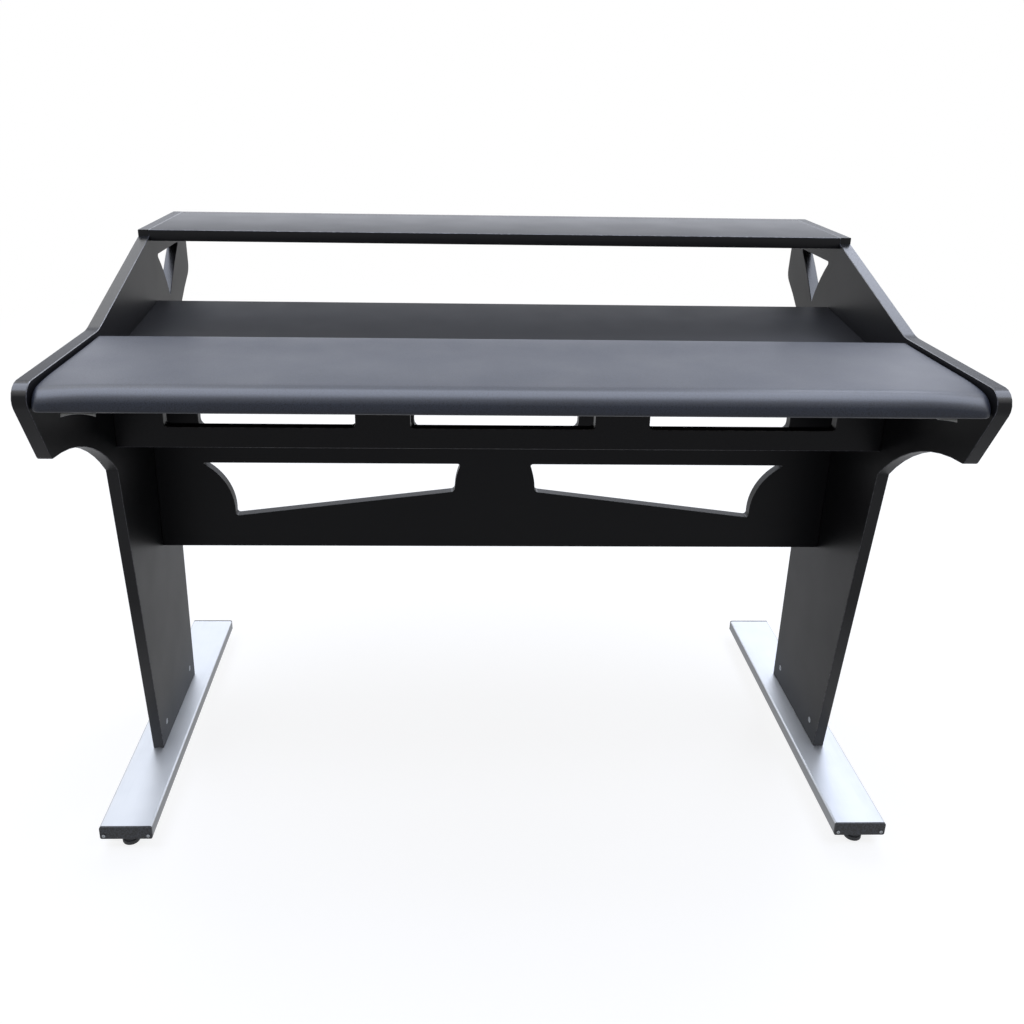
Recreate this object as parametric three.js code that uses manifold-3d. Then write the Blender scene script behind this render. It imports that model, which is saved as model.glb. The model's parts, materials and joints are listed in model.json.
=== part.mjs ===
// Studio desk: two board sides with cut-outs carry a monitor shelf, a sloping equipment deck,
// a padded armrest, a slotted cable rail and a rear panel, and stand on aluminium foot rails
// with screw levellers. Millimetres, +X right, +Y back, +Z up, origin on the floor at the
// middle of the desk's box. Inside the assembly, y is measured from the front of the feet.
import * as THREE from 'three';
import { mergeVertices } from 'three/addons/utils/BufferGeometryUtils.js';
import Module from 'manifold-3d';

const wasm = await Module();
wasm.setup();

// Driving sizes
const boardThickness = 18;
const outerWidth = 1160;
const boardArris = 0.8;
const fitGap = 0.3;
const cutOverrun = 4;

// Foot rails and their levellers
const footWidth = 80;
const footHeight = 22;
const footLength = 604;
const footCornerRadius = 3;
const footWall = 2;
const footWebSpacing = 34;
const levellerHeight = 20;

// Side panels
const legSetback = 189;
const legDepth = 220;
const legFrontLean = 69;
const frontArchRadius = 311.5;
const frontArchCentreY = -113;
const frontArchDrop = 421;
const noseTipY = -160.5;
const noseTipTrim = 35.1;
const noseFootY = -99;
const noseFootRadius = 5;
const armTopHeight = 798;
const slopeFootY = 108;
const slopeFootRadius = 10;
const shelfStep = 10;
const rearBulge = 8;
const rearBulgeRadius = 15;
const rearArchRadius = 375;
const rearArchDrop = 440;

// Window cut through each side panel under the shelf
const windowDrop = 28;
const windowFrontInset = 34;
const windowBackInset = 52;
const windowHeight = 80;
const windowTipInset = 90;
const windowFrontRise = 5;
const windowRearRise = 2.8;
const windowTopRadius = 7;
const windowBackRadius = 5;
const windowTipRadius = 3;

// Monitor shelf
const shelfRise = 96;
const shelfFrontY = 382;
const shelfDepth = 219;

// Equipment deck, which slopes down towards the player
const deckSlopeDegrees = 6;
const deckTuck = 14;
const gearClearance = 100.5;
const deckDepth = 310;

// Armrest: a board wrapped in foam and leatherette
const armrestFrontY = -148;
const armrestDepth = 248;
const armrestHeight = 29.5;
const armrestDrop = 4;
const armrestSideGap = 2;
const armrestBoardThickness = 12;
const armrestFrontLip = 10;
const armrestSideLip = 6;
const armrestCrown = 2;
const armrestDrawIn = 1.2;
const armrestNoseRadius = 22;
const armrestUnderRadius = 6;
const armrestBackRadius = 5;
const armrestHemRadius = 2.5;
const armrestPlanRadius = 9;
const armrestEndRadius = 5;
const armrestEndUnderRadius = 4;

// Angle brackets under the armrest
const bracketLeg = 30;
const bracketThickness = 3;
const bracketLength = 120;
const bracketFrontY = -45;
const bracketScrewInset = 20;
const bracketScrewReach = 17;

// Slotted cable rail at the front and rear panel behind it
const railFrontY = 124;
const railHeight = 109.5;
const slotWidth = 270;
const slotHeight = 50;
const slotPitch = 350;
const railSlotInset = 31.5;
const railSlotRadius = 6;
const railSlotOverreach = 5.6;
const rearFaceY = 293;
const rearHeight = 371.5;
const rearSlotInset = 213;
const rearSlotRadius = 12;
const hatchTopInset = 152;
const hatchOuterBottomInset = 56;
const hatchInnerBottomInset = 102;
const hatchOuterBottomX = 435.5;
const hatchOuterTopX = 486.5;
const hatchInnerBottomX = 67;
const hatchInnerTopX = 57;
const hatchOuterRise = 16.8;
const hatchInnerRise = 3;
const hatchRadius = 6;

// Connecting screws through the side panels into the ends of the boards
const connectorRadius = 3.5;
const connectorLength = 50;
const connectorHeadRadius = 5;
const connectorHeadHeight = 2.5;
const shelfConnectorInset = 45;
const rearConnectorInset = 35;

// Leg bolts and cross dowels
const legBoltInset = 30;
const legBoltRadius = 3;
const legBoltHeadRadius = 5;
const legBoltHeadHeight = 5;
const legBoltPastDowel = 7;
const legBoltAccessRadius = 6.5;
const dowelHeight = 32;
const dowelRadius = 5;
const dowelLength = 14;
const dowelSlotWidth = 1.4;
const dowelSlotDepth = 1.2;

// Levellers
const levellerInset = 21.5;
const baseRadius = 13.5;
const baseRimHeight = 7;
const baseHubRadius = 10.5;
const baseFootGap = 0.5;
const baseEdgeRadius = 1.2;
const baseFloor = 3;
const studRadius = 4;
const studRunningGap = 0.08;
const studHeadRadius = 6;
const studHeadHeight = 2;
const studTopGap = 1.5;
const nutPlateHeight = 6;

// End caps and their screws
const capThickness = 3;
const capSpigotDepth = 10;
const capSpigotWall = 2;
const portInset = 6;
const portRadius = 4.5;
const portHoleRadius = 2;
const capScrewRadius = 1.7;
const capScrewLength = 14;
const capScrewHeadRadius = 2.6;
const capScrewHeadHeight = 1.2;

// Wood screws of the brackets
const screwRadius = 1.9;
const screwHeadRadius = 3.8;
const screwHeadHeight = 2.2;
const panelScrewLength = 14;
const armrestScrewLength = 12;

// Faceting
const arcStep = THREE.MathUtils.degToRad(5);
const cornerSteps = 4;
const cornerFacet = THREE.MathUtils.degToRad(22.5);
const fineSides = 20;
const coarseSides = 12;

// Worked-out places
const innerX = outerWidth / 2 - boardThickness;
const legMiddleX = outerWidth / 2 - boardThickness / 2;
const footTopHeight = levellerHeight + footHeight;
const legRearY = legSetback + legDepth;
const shelfBackY = shelfFrontY + shelfDepth;
const shelfHeight = armTopHeight + shelfRise;
const shelfUnderHeight = shelfHeight - boardThickness;
const frontArchCentreHeight = armTopHeight - frontArchDrop;
const rearArchCentreHeight = shelfHeight - rearArchDrop;
const deckBackY = shelfFrontY + deckTuck;
const deckBackHeight = shelfUnderHeight - gearClearance;
const deckSlope = THREE.MathUtils.degToRad(deckSlopeDegrees);
const armrestTopHeight = armTopHeight - armrestDrop;
const armrestUnderHeight = armrestTopHeight - armrestHeight;
const armrestBackY = armrestFrontY + armrestDepth;
const bulgeY = shelfBackY + rearBulge;

const sides = [{ name: 'left', sign: -1 }, { name: 'right', sign: 1 }];
const ends = [{ name: 'front', sign: 1, y: 0 }, { name: 'rear', sign: -1, y: footLength }];

// Finishes
const laminate = { color: 0x2c2c2e, roughness: 0.55, metalness: 0 };
const leatherette = { color: 0x26272b, roughness: 0.5, metalness: 0 };
const anodised = { color: 0xc8cbd0, roughness: 0.35, metalness: 1 };
const plastic = { color: 0x1b1c1e, roughness: 0.6, metalness: 0 };
const zinc = { color: 0xb4b7ba, roughness: 0.3, metalness: 1 };
const rawBoard = { color: 0x8a6f4e, roughness: 0.9, metalness: 0 };
const blackSteel = { color: 0x1f2022, roughness: 0.5, metalness: 0.6 };

// Solids: conversion between three.js geometry and manifold, and the two ways they join
function toSolid(geometry) {
  const bare = geometry.clone();
  bare.deleteAttribute('normal');
  bare.deleteAttribute('uv');
  const merged = mergeVertices(bare);
  return new wasm.Manifold(new wasm.Mesh({
    numProp: 3,
    vertProperties: new Float32Array(merged.attributes.position.array),
    triVerts: new Uint32Array(merged.index.array),
  }));
}

function toGeometry(solid) {
  const mesh = solid.getMesh();
  const geometry = new THREE.BufferGeometry();
  geometry.setAttribute('position', new THREE.BufferAttribute(mesh.vertProperties, 3));
  geometry.setIndex(new THREE.BufferAttribute(mesh.triVerts, 1));
  const flat = geometry.toNonIndexed();
  flat.computeVertexNormals();
  return flat;
}

function cut(geometry, cutters) {
  const holes = cutters.map(toSolid).reduce((all, next) => all.add(next));
  return toGeometry(toSolid(geometry).subtract(holes));
}

function join(geometries) {
  return toGeometry(geometries.map(toSolid).reduce((all, next) => all.add(next)));
}

// A closed outline from its corners. Each corner is [u, v, radius, rise]: radius rounds the
// corner, and rise is how far the middle of the edge that leaves it stands off its chord,
// to the left of the way along it.
function outline(corners) {
  const edges = corners.map(([u, v, radius = 0, rise = 0], i) => {
    const next = corners[(i + 1) % corners.length];
    return makeEdge(new THREE.Vector2(u, v), new THREE.Vector2(next[0], next[1]), rise,
      radius, next[2] ?? 0);
  });
  const points = [];
  edges.forEach((edge, i) => {
    const before = edges.at(i - 1);
    const radius = corners[i][2] ?? 0;
    if (radius > 0) {
      const corner = new THREE.Vector2(corners[i][0], corners[i][1]);
      points.push(...bendPoints(before.end, corner, edge.start));
    } else {
      points.push(edge.start);
    }
    points.push(...edge.middle);
  });
  return points;
}

// The bend at a rounded corner: part of a circle where both its edges are shortened alike
function bendPoints(from, corner, to) {
  const turn = Math.PI - from.clone().sub(corner).angleTo(to.clone().sub(corner));
  const count = Math.max(cornerSteps, Math.ceil(turn / cornerFacet));
  return Array.from({ length: count + 1 }, (_, i) => {
    const t = i / count;
    const pull = 2 * Math.cos(turn / 2) * t * (1 - t);
    const fromShare = (1 - t) ** 2;
    const toShare = t ** 2;
    return from.clone().multiplyScalar(fromShare)
      .addScaledVector(corner, pull)
      .addScaledVector(to, toShare)
      .divideScalar(fromShare + pull + toShare);
  });
}

// One edge of an outline, straight or an arc, shortened at both ends by the corner radii
function makeEdge(from, to, rise, trimStart, trimEnd) {
  const chord = to.clone().sub(from);
  const span = chord.length();
  if (rise === 0) {
    return {
      start: from.clone().lerp(to, trimStart / span),
      end: to.clone().lerp(from, trimEnd / span),
      middle: [],
    };
  }
  const radius = (span * span / 4 + rise * rise) / (2 * Math.abs(rise));
  const left = new THREE.Vector2(-chord.y, chord.x).normalize().multiplyScalar(Math.sign(rise));
  const centre = from.clone().add(to).multiplyScalar(1 / 2)
    .addScaledVector(left, Math.abs(rise) - radius);
  const turn = -Math.sign(rise);
  const sweep = 2 * Math.asin(span / 2 / radius);
  const first = Math.atan2(from.y - centre.y, from.x - centre.x) + turn * trimStart / radius;
  const kept = sweep - (trimStart + trimEnd) / radius;
  const count = Math.max(2, Math.ceil(kept / arcStep));
  const at = (i) => new THREE.Vector2(
    centre.x + radius * Math.cos(first + turn * kept * i / count),
    centre.y + radius * Math.sin(first + turn * kept * i / count));
  const middle = Array.from({ length: count - 1 }, (_, i) => at(i + 1));
  return { start: at(0), end: at(count), middle };
}

function shapeOf(points, holes = []) {
  const shape = new THREE.Shape(points);
  shape.holes = holes.map((hole) => new THREE.Path(hole));
  return shape;
}

// A board cut to a shape, with its sharp edges taken off all round
function board(shape, thickness = boardThickness) {
  const geometry = new THREE.ExtrudeGeometry(shape, {
    depth: thickness - 2 * boardArris,
    bevelThickness: boardArris,
    bevelSize: boardArris,
    bevelOffset: -boardArris,
    bevelSegments: 1,
  });
  return geometry.translate(0, 0, boardArris);
}

function extrude(points, depth, holes = []) {
  return new THREE.ExtrudeGeometry(shapeOf(points, holes), { depth, bevelEnabled: false });
}

function rectangle(u0, v0, u1, v1, radius = 0) {
  return outline([[u0, v0, radius], [u1, v0, radius], [u1, v1, radius], [u0, v1, radius]]);
}

function box(x0, y0, z0, x1, y1, z1) {
  const geometry = new THREE.BoxGeometry(x1 - x0, y1 - y0, z1 - z0);
  return geometry.translate((x0 + x1) / 2, (y0 + y1) / 2, (z0 + z1) / 2);
}

// A cylinder from one point to another
function rod(from, to, radius, sideCount = coarseSides) {
  const way = to.clone().sub(from);
  const geometry = new THREE.CylinderGeometry(radius, radius, way.length(), sideCount);
  geometry.translate(0, way.length() / 2, 0);
  const up = new THREE.Vector3(0, 1, 0);
  geometry.applyQuaternion(new THREE.Quaternion().setFromUnitVectors(up, way.normalize()));
  return geometry.translate(from.x, from.y, from.z);
}

// A turned piece standing on +Z, from its profile of [radius, height] pairs
function turned(profile, sideCount) {
  const points = profile.map(([radius, height]) => new THREE.Vector2(radius, height));
  return new THREE.LatheGeometry(points, sideCount).rotateX(Math.PI / 2);
}

const vec = (x, y, z) => new THREE.Vector3(x, y, z);

// Turns a geometry drawn in (y, z) and raised along x, or in (x, z) and raised towards the front
const alongX = new THREE.Matrix4().makeBasis(vec(0, 1, 0), vec(0, 0, 1), vec(1, 0, 0));
const towardsFront = new THREE.Matrix4().makeBasis(vec(1, 0, 0), vec(0, 0, 1), vec(0, -1, 0));

const desk = new THREE.Group();
const assembly = new THREE.Group();
desk.add(assembly);

function addPiece(parent, name, geometry, finish, place = vec(0, 0, 0)) {
  const mesh = new THREE.Mesh(geometry, new THREE.MeshStandardMaterial(finish));
  mesh.name = name;
  mesh.position.copy(place);
  parent.add(mesh);
  return mesh;
}

// The deck's own directions, and where its underside and the boards below it end
const deckUnder = vec(0, Math.sin(deckSlope), -Math.cos(deckSlope));
const deckAlong = vec(0, Math.cos(deckSlope), Math.sin(deckSlope));
const deckPoint = (fromBack, depth) => vec(0, deckBackY, deckBackHeight)
  .addScaledVector(deckAlong, -fromBack).addScaledVector(deckUnder, depth);
const deckUnderAt = (y) => deckBackHeight - (deckBackY - y) * Math.tan(deckSlope)
  - boardThickness / Math.cos(deckSlope);
const railTopHeight = deckUnderAt(railFrontY) - fitGap;
const railBottomHeight = railTopHeight - railHeight;
const rearTopHeight = deckUnderAt(rearFaceY) - fitGap;
const rearBottomHeight = rearTopHeight - rearHeight;

// Where connecting screws enter each board, on the board's middle plane
const shelfMiddleHeight = shelfHeight - boardThickness / 2;
const connectorPlaces = {
  monitor_shelf: {
    front: vec(0, shelfFrontY + shelfConnectorInset, shelfMiddleHeight),
    rear: vec(0, shelfBackY - shelfConnectorInset, shelfMiddleHeight),
  },
  equipment_deck: { middle: deckPoint(deckDepth / 2, boardThickness / 2) },
  cable_rail: {
    middle: vec(0, railFrontY + boardThickness / 2, (railBottomHeight + railTopHeight) / 2),
  },
  rear_panel: {
    lower: vec(0, rearFaceY + boardThickness / 2, rearBottomHeight + rearConnectorInset),
    upper: vec(0, rearFaceY + boardThickness / 2, rearTopHeight - rearConnectorInset),
  },
};

// Screw profile about the side panel's outer face, running inwards along -x on the right side
function connectorProfile(gap) {
  const tip = -connectorLength - gap;
  return [
    [0, tip], [connectorRadius + gap, tip], [connectorRadius + gap, -connectorHeadHeight - gap],
    [connectorHeadRadius + gap, -connectorHeadHeight - gap],
  ];
}

function alongSide(geometry, side, place) {
  geometry.rotateY(side.sign * Math.PI / 2);
  return geometry.translate(side.sign * outerWidth / 2, place.y, place.z);
}

function connectorHole(side, place) {
  const hole = turned([...connectorProfile(fitGap),
    [connectorHeadRadius + fitGap, cutOverrun], [0, cutOverrun]], coarseSides);
  return alongSide(hole, side, place);
}

function connector(side, place) {
  return alongSide(turned([...connectorProfile(0),
    [connectorHeadRadius, -fitGap], [0, -fitGap]], coarseSides), side, place);
}

function drillForConnectors(geometry, name) {
  const places = Object.values(connectorPlaces[name]);
  return cut(geometry, sides.flatMap((side) => places.map((place) => connectorHole(side, place))));
}

function addConnectors(name) {
  for (const side of sides) {
    for (const [end, place] of Object.entries(connectorPlaces[name])) {
      addPiece(assembly, `${name}_connector_${end}_${side.name}`, connector(side, place), zinc);
    }
  }
}

// Side panel outline in (y, z), from the toe of the leg up the back and round to the nose
function sideOutline() {
  const legTopY = legSetback - legFrontLean;
  const onFrontArch = (y) => frontArchCentreHeight
    + Math.sqrt(frontArchRadius ** 2 - (y - frontArchCentreY) ** 2);
  const archTop = [legTopY, onFrontArch(legTopY)];
  const noseFoot = [noseFootY, onFrontArch(noseFootY)];
  const rearArchCentreY = legRearY + rearArchRadius;
  const bulgeHeight = rearArchCentreHeight
    + Math.sqrt(rearArchRadius ** 2 - (bulgeY - rearArchCentreY) ** 2);
  const riseOf = (radius, a, b) => {
    const half = Math.hypot(a[0] - b[0], a[1] - b[1]) / 2;
    return radius - Math.sqrt(radius ** 2 - half ** 2);
  };
  const legBackTop = [legRearY, rearArchCentreHeight];
  const bulge = [bulgeY, bulgeHeight];
  return outline([
    [legSetback, footTopHeight],
    [legRearY, footTopHeight],
    [...legBackTop, 0, riseOf(rearArchRadius, legBackTop, bulge)],
    [...bulge, rearBulgeRadius],
    [shelfBackY, shelfHeight],
    [shelfFrontY, shelfHeight],
    [shelfFrontY, shelfHeight - shelfStep],
    [slopeFootY, armTopHeight, slopeFootRadius],
    [noseTipY, armTopHeight, noseTipTrim],
    [...noseFoot, noseFootRadius, riseOf(frontArchRadius, noseFoot, archTop)],
    archTop,
  ]);
}

// The window is a three-cornered hole whose front and rear edges swell into it
function windowOutline() {
  const top = shelfUnderHeight - windowDrop;
  const front = shelfFrontY + windowFrontInset;
  const rear = shelfBackY - windowBackInset;
  const tip = shelfFrontY + windowTipInset;
  return outline([
    [tip, top - windowHeight, windowTipRadius, windowRearRise],
    [rear, top, windowBackRadius],
    [front, top, windowTopRadius, windowFrontRise],
  ]);
}

const legBoltYs = [legSetback + legBoltInset, legRearY - legBoltInset];
const dowelZ = footTopHeight + dowelHeight;
const legBoltTopZ = dowelZ + legBoltPastDowel;

// Bracket screws: into the panel along x, and up into the armrest board
const bracketTopHeight = armrestUnderHeight - fitGap;
const panelScrewY = bracketFrontY + bracketScrewInset;
const boardScrewY = bracketFrontY + bracketLength - bracketScrewInset;
const bracketScrewX = innerX - fitGap - bracketScrewReach;
const bracketScrewZ = bracketTopHeight - bracketScrewReach;

function screwHole(from, way, length) {
  const start = from.clone().addScaledVector(way, -cutOverrun);
  const end = from.clone().addScaledVector(way, length + fitGap);
  return rod(start, end, screwRadius + fitGap);
}

function screw(from, way, length) {
  const geometry = turned([
    [0, -length], [screwRadius / 2, -length], [screwRadius, -length + screwHeadHeight],
    [screwRadius, 0], [screwHeadRadius, 0], [screwHeadRadius, screwHeadHeight / 2],
    [screwHeadRadius / 2, screwHeadHeight], [0, screwHeadHeight],
  ], coarseSides);
  const turn = new THREE.Quaternion().setFromUnitVectors(vec(0, 0, -1), way);
  return geometry.applyQuaternion(turn).translate(from.x, from.y, from.z);
}

function sidePanel(side) {
  const shape = shapeOf(sideOutline(), [windowOutline()]);
  const blank = board(shape).applyMatrix4(alongX);
  blank.translate(side.sign > 0 ? innerX : -innerX - boardThickness, 0, 0);
  const face = side.sign * innerX;
  const bolts = legBoltYs.map((y) => rod(
    vec(side.sign * legMiddleX, y, footTopHeight - cutOverrun),
    vec(side.sign * legMiddleX, y, legBoltTopZ + fitGap), legBoltRadius + fitGap));
  const dowels = legBoltYs.map((y) => rod(
    vec(face - side.sign * cutOverrun, y, dowelZ),
    vec(face + side.sign * (dowelLength + fitGap), y, dowelZ), dowelRadius + fitGap, fineSides));
  const connectors = Object.values(connectorPlaces).flatMap((places) => Object.values(places))
    .map((place) => connectorHole(side, place));
  const screwStart = vec(face, panelScrewY, bracketScrewZ);
  const pilot = screwHole(screwStart, vec(side.sign, 0, 0), panelScrewLength - bracketThickness);
  addPiece(assembly, `side_panel_${side.name}`,
    cut(blank, [...bolts, ...dowels, ...connectors, pilot]), laminate);
}

sides.forEach(sidePanel);

// The cushion reaches furthest forward and the bulge of the side panels furthest back
const rearmostY = Math.max(...sideOutline().map((point) => point.x));
assembly.position.y = -(armrestFrontY + rearmostY) / 2;

// Boards that run from side to side: a section in (y, z) with soft edges, extruded along x
const boardEndX = innerX - fitGap;

function crossBoard(points) {
  const blank = extrude(points, 2 * boardEndX).applyMatrix4(alongX);
  return blank.translate(-boardEndX, 0, 0);
}

function monitorShelf() {
  const section = rectangle(shelfFrontY, shelfUnderHeight, shelfBackY, shelfHeight, boardArris);
  const blank = crossBoard(section);
  addPiece(assembly, 'monitor_shelf', drillForConnectors(blank, 'monitor_shelf'), laminate);
  addConnectors('monitor_shelf');
}

function equipmentDeck() {
  const corner = (fromBack, depth) => {
    const point = deckPoint(fromBack, depth);
    return [point.y, point.z, boardArris];
  };
  const section = outline([
    corner(deckDepth, boardThickness), corner(0, boardThickness),
    corner(0, 0), corner(deckDepth, 0),
  ]);
  const blank = crossBoard(section);
  addPiece(assembly, 'equipment_deck', drillForConnectors(blank, 'equipment_deck'), laminate);
  addConnectors('equipment_deck');
}

// Three slots side by side, whose outer two may reach further towards the side panels
function slotOutlines(bottom, radius, overreach = 0) {
  return [-1, 0, 1].map((place) => {
    const centre = place * slotPitch;
    const left = centre - slotWidth / 2 + Math.min(place, 0) * overreach;
    const right = centre + slotWidth / 2 + Math.max(place, 0) * overreach;
    return rectangle(left, bottom, right, bottom + slotHeight, radius);
  });
}

// Upright boards, drawn from the front in (x, z) and cut by their openings
function uprightBoard(bottom, top, openings, faceY) {
  const shape = shapeOf(rectangle(-boardEndX, bottom, boardEndX, top), openings);
  return board(shape).applyMatrix4(towardsFront).translate(0, faceY + boardThickness, 0);
}

function cableRail() {
  const bottom = railBottomHeight + railSlotInset;
  const slots = slotOutlines(bottom, railSlotRadius, railSlotOverreach);
  const blank = uprightBoard(railBottomHeight, railTopHeight, slots, railFrontY);
  addPiece(assembly, 'cable_rail', drillForConnectors(blank, 'cable_rail'), laminate);
  addConnectors('cable_rail');
}

// A hatch has a bottom edge that climbs to the middle of the desk, and ends that swell into it
function hatchOutline(side) {
  const top = rearBottomHeight + hatchTopInset;
  const points = outline([
    [hatchInnerBottomX, rearBottomHeight + hatchInnerBottomInset, hatchRadius],
    [hatchOuterBottomX, rearBottomHeight + hatchOuterBottomInset, hatchRadius, hatchOuterRise],
    [hatchOuterTopX, top, hatchRadius],
    [hatchInnerTopX, top, hatchRadius, hatchInnerRise],
  ]);
  return points.map((point) => new THREE.Vector2(side.sign * point.x, point.y));
}

function rearPanel() {
  const slots = slotOutlines(rearBottomHeight + rearSlotInset, rearSlotRadius);
  const openings = [...slots, ...sides.map(hatchOutline)];
  const blank = uprightBoard(rearBottomHeight, rearTopHeight, openings, rearFaceY);
  addPiece(assembly, 'rear_panel', drillForConnectors(blank, 'rear_panel'), laminate);
  addConnectors('rear_panel');
}

monitorShelf();
equipmentDeck();
cableRail();
rearPanel();

// Armrest cushion: a section in (y, z) lofted along x, rounded in at its ends, crowned on top
// and drawn in at its ends between the corners
const armrestHalfLength = innerX - armrestSideGap;
const endDepthShares = [0, 0.04, 0.13, 0.28, 0.5, 0.75, 1];
const bodyShares = [-0.6, -0.2, 0.2, 0.6];

function roundIn(depth, radius) {
  return depth >= radius ? 0 : radius - Math.sqrt(radius ** 2 - (radius - depth) ** 2);
}

function cushionStations() {
  const ending = endDepthShares.map((share) => share * armrestPlanRadius);
  const straight = armrestHalfLength - armrestPlanRadius;
  return [
    ...ending.map((depth) => ({ x: depth - armrestHalfLength, depth })),
    ...bodyShares.map((share) => ({ x: share * straight, depth: armrestPlanRadius })),
    ...ending.toReversed().map((depth) => ({ x: armrestHalfLength - depth, depth })),
  ];
}

function cushionSection(depth) {
  const front = armrestFrontY + roundIn(depth, armrestPlanRadius);
  const rear = armrestBackY - roundIn(depth, armrestEndRadius);
  const under = armrestUnderHeight + roundIn(depth, armrestEndUnderRadius);
  const top = armrestTopHeight - roundIn(depth, armrestEndRadius);
  const squeeze = (top - under) / armrestHeight;
  return outline([
    [front, under, armrestUnderRadius * squeeze], [rear, under, armrestHemRadius * squeeze],
    [rear, top, armrestBackRadius * squeeze], [front, top, armrestNoseRadius * squeeze],
  ]);
}

function cushionPoint(point, x) {
  const across = (2 * point.x - armrestFrontY - armrestBackY) / armrestDepth;
  const along = x / armrestHalfLength;
  const height = (point.y - armrestUnderHeight) / armrestHeight;
  const crown = armrestCrown * height * (1 - across ** 4) * (1 - along ** 4);
  const drawIn = armrestDrawIn * (1 - across ** 2) * along ** 3;
  return vec(x - drawIn, point.x, point.y + crown);
}

function loft(rings) {
  const count = rings[0].length;
  const vertices = rings.flat();
  const index = [];
  for (let ring = 0; ring < rings.length - 1; ring += 1) {
    for (let i = 0; i < count; i += 1) {
      const a = ring * count + i;
      const b = ring * count + (i + 1) % count;
      index.push(a, b, a + count, b, b + count, a + count);
    }
  }
  for (const [ring, flip] of [[0, false], [rings.length - 1, true]]) {
    const flat = rings[ring].map((p) => new THREE.Vector2(p.y, p.z));
    for (const [a, b, c] of THREE.ShapeUtils.triangulateShape(flat, [])) {
      const face = flip ? [a, b, c] : [a, c, b];
      index.push(...face.map((i) => ring * count + i));
    }
  }
  const geometry = new THREE.BufferGeometry().setFromPoints(vertices);
  geometry.setIndex(index);
  return geometry;
}

function armrest() {
  const rings = cushionStations().map(({ x, depth }) => cushionSection(depth)
    .map((point) => cushionPoint(point, x)));
  const boardX = armrestHalfLength - armrestSideLip;
  const boardFrontY = armrestFrontY + armrestFrontLip;
  const boardBackY = armrestBackY - armrestSideLip;
  const boardTop = armrestUnderHeight + armrestBoardThickness;
  const pocket = box(-boardX - fitGap, boardFrontY - fitGap, armrestUnderHeight - cutOverrun,
    boardX + fitGap, boardBackY + fitGap, boardTop + fitGap);
  addPiece(assembly, 'armrest_cushion', cut(loft(rings), [pocket]), leatherette);
  const blank = box(-boardX, boardFrontY, armrestUnderHeight, boardX, boardBackY, boardTop);
  const holes = sides.map((side) => screwHole(
    vec(side.sign * bracketScrewX, boardScrewY, armrestUnderHeight), vec(0, 0, 1),
    armrestScrewLength - bracketThickness));
  addPiece(assembly, 'armrest_board', cut(blank, holes), rawBoard);
}

// Steel angle under each end of the armrest, screwed to the side panel and to the board
function armrestBracket(side) {
  const wall = innerX - fitGap;
  const section = outline([
    [wall, bracketTopHeight - bracketLeg], [wall, bracketTopHeight],
    [wall - bracketLeg, bracketTopHeight],
    [wall - bracketLeg, bracketTopHeight - bracketThickness],
    [wall - bracketThickness, bracketTopHeight - bracketThickness],
    [wall - bracketThickness, bracketTopHeight - bracketLeg],
  ]).map((point) => new THREE.Vector2(side.sign * point.x, point.y));
  const blank = extrude(section, bracketLength).applyMatrix4(towardsFront);
  blank.translate(0, bracketFrontY + bracketLength, 0);
  const outward = vec(side.sign, 0, 0);
  const upward = vec(0, 0, 1);
  const panelStart = vec(side.sign * (wall - bracketThickness - fitGap), panelScrewY,
    bracketScrewZ);
  const boardStart = vec(side.sign * bracketScrewX, boardScrewY,
    bracketTopHeight - bracketThickness - fitGap);
  const holes = [
    screwHole(panelStart, outward, bracketThickness + cutOverrun),
    screwHole(boardStart, upward, bracketThickness + cutOverrun),
  ];
  addPiece(assembly, `armrest_bracket_${side.name}`, cut(blank, holes), blackSteel);
  addPiece(assembly, `bracket_panel_screw_${side.name}`,
    screw(panelStart, outward, panelScrewLength), zinc);
  addPiece(assembly, `bracket_board_screw_${side.name}`,
    screw(boardStart, upward, armrestScrewLength), zinc);
}

armrest();
sides.forEach(armrestBracket);

// Foot rail section in (x, z) about the rail's middle line and its underside: three chambers,
// with a screw port in each lower outer corner
function chamberOutline(sign) {
  const outer = footWidth / 2 - footWall;
  const inner = footWebSpacing / 2;
  const portX = footWidth / 2 - portInset;
  const reach = (gap) => Math.sqrt(portRadius ** 2 - gap ** 2);
  const floorEnd = portX - reach(portInset - footWall);
  const wallEnd = portInset + reach(portInset - footWall);
  const start = Math.atan2(wallEnd - portInset, outer - portX);
  const finish = 2 * Math.PI + Math.atan2(footWall - portInset, floorEnd - portX);
  const steps = 2 * cornerSteps;
  const port = Array.from({ length: steps + 1 }, (_, i) => {
    const angle = start + (finish - start) * i / steps;
    return new THREE.Vector2(portX + portRadius * Math.cos(angle),
      portInset + portRadius * Math.sin(angle));
  });
  const points = [
    ...port, new THREE.Vector2(inner, footWall), new THREE.Vector2(inner, footHeight - footWall),
    new THREE.Vector2(outer, footHeight - footWall),
  ];
  return points.map((point) => new THREE.Vector2(sign * point.x, point.y));
}

function circle(x, y, radius) {
  const step = 2 * Math.PI / coarseSides;
  return Array.from({ length: coarseSides }, (_, i) => new THREE.Vector2(
    x + radius * Math.cos(i * step), y + radius * Math.sin(i * step)));
}

const channelHalf = footWebSpacing / 2 - footWall;
const nutPlateHalf = levellerInset - capThickness - capSpigotDepth - fitGap;
const portXs = [-1, 1].map((sign) => sign * (footWidth / 2 - portInset));

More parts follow.
